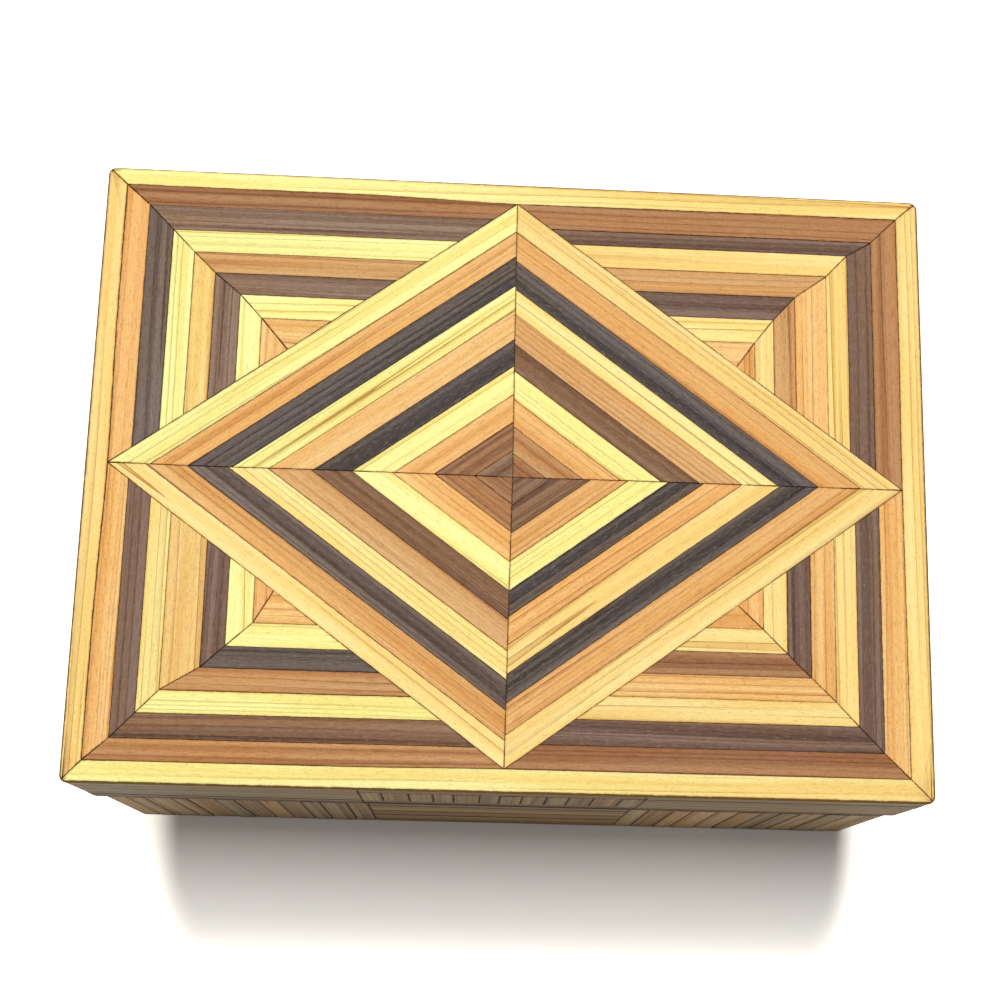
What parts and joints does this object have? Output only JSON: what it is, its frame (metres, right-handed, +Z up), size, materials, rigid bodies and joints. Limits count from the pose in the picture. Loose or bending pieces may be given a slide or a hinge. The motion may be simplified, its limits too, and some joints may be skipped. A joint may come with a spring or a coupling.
{
  "type": "inlaid wooden trinket box",
  "caption": "Rectangular lidded box covered in mitred strips of contrasting wood, with a diamond on the lid and a lid hinged at the back.",
  "frame": {"origin": "middle of the lid's outline in plan, on the surface the box stands on", "axes": "+Z up, +X toward the right end as seen from the front, -Y out of the front, so the hinges are at +Y"},
  "size_m": [0.1606, 0.121, 0.063],
  "materials": {
    "board_wood": "plain, lightly oiled",
    "side_strip_wood": "satin, worn",
    "pale_strip_wood": "varnished",
    "yellow_strip_wood": "varnished",
    "orange_strip_wood": "varnished",
    "brown_strip_wood": "stained and varnished",
    "dark_strip_wood": "stained and varnished",
    "slate_strip_wood": "stained and varnished",
    "hinge_brass": "satin, dulled",
    "pin_steel": "satin",
    "screw_brass": "satin, dulled"
  },
  "bodies": {
    "box": {"bottom_board": "board_wood", "front_wall": "board_wood", "back_wall": "board_wood", "left_wall": "board_wood", "right_wall": "board_wood", "body_front_uprights": "side_strip_wood", "body_front_courses": "side_strip_wood", "body_back_uprights": "side_strip_wood", "body_back_courses": "side_strip_wood", "body_left_uprights": "side_strip_wood", "body_left_courses": "side_strip_wood", "body_right_uprights": "side_strip_wood", "body_right_courses": "side_strip_wood", "left_hinge_body_leaf": "hinge_brass", "right_hinge_body_leaf": "hinge_brass", "hinge_pins": "pin_steel", "body_hinge_screws": "screw_brass"},
    "lid": {"lid_panel": "board_wood", "lid_front_rail": "board_wood", "lid_back_rail": "board_wood", "lid_left_rail": "board_wood", "lid_right_rail": "board_wood", "lid_front_courses": "side_strip_wood", "lid_front_bars": "side_strip_wood", "lid_back_courses": "side_strip_wood", "lid_back_bars": "side_strip_wood", "lid_left_courses": "side_strip_wood", "lid_left_bars": "side_strip_wood", "lid_right_courses": "side_strip_wood", "lid_right_bars": "side_strip_wood", "border_strips": "pale_strip_wood", "corner_ring_1": "brown_strip_wood", "corner_ring_2": "dark_strip_wood", "corner_ring_3": "yellow_strip_wood", "corner_ring_4": "orange_strip_wood", "corner_ring_5": "dark_strip_wood", "corner_ring_6": "pale_strip_wood", "corner_ring_7": "orange_strip_wood", "diamond_ring_1": "yellow_strip_wood", "diamond_ring_2": "orange_strip_wood", "diamond_ring_3": "slate_strip_wood", "diamond_ring_4": "yellow_strip_wood", "diamond_ring_5": "orange_strip_wood", "diamond_ring_6": "slate_strip_wood", "diamond_ring_7": "pale_strip_wood", "diamond_ring_8": "orange_strip_wood", "diamond_ring_9": "brown_strip_wood", "diamond_ring_10": "dark_strip_wood", "left_hinge_lid_leaf": "hinge_brass", "right_hinge_lid_leaf": "hinge_brass", "lid_hinge_screws": "screw_brass"}
  },
  "joints": [
    {"name": "lid_hinge", "type": "hinge", "parent": "box", "child": "lid", "pos_m": [0, 0.0585, 0.03855], "axis": [-1, 0, 0], "range_deg": [0, 100]}
  ]
}
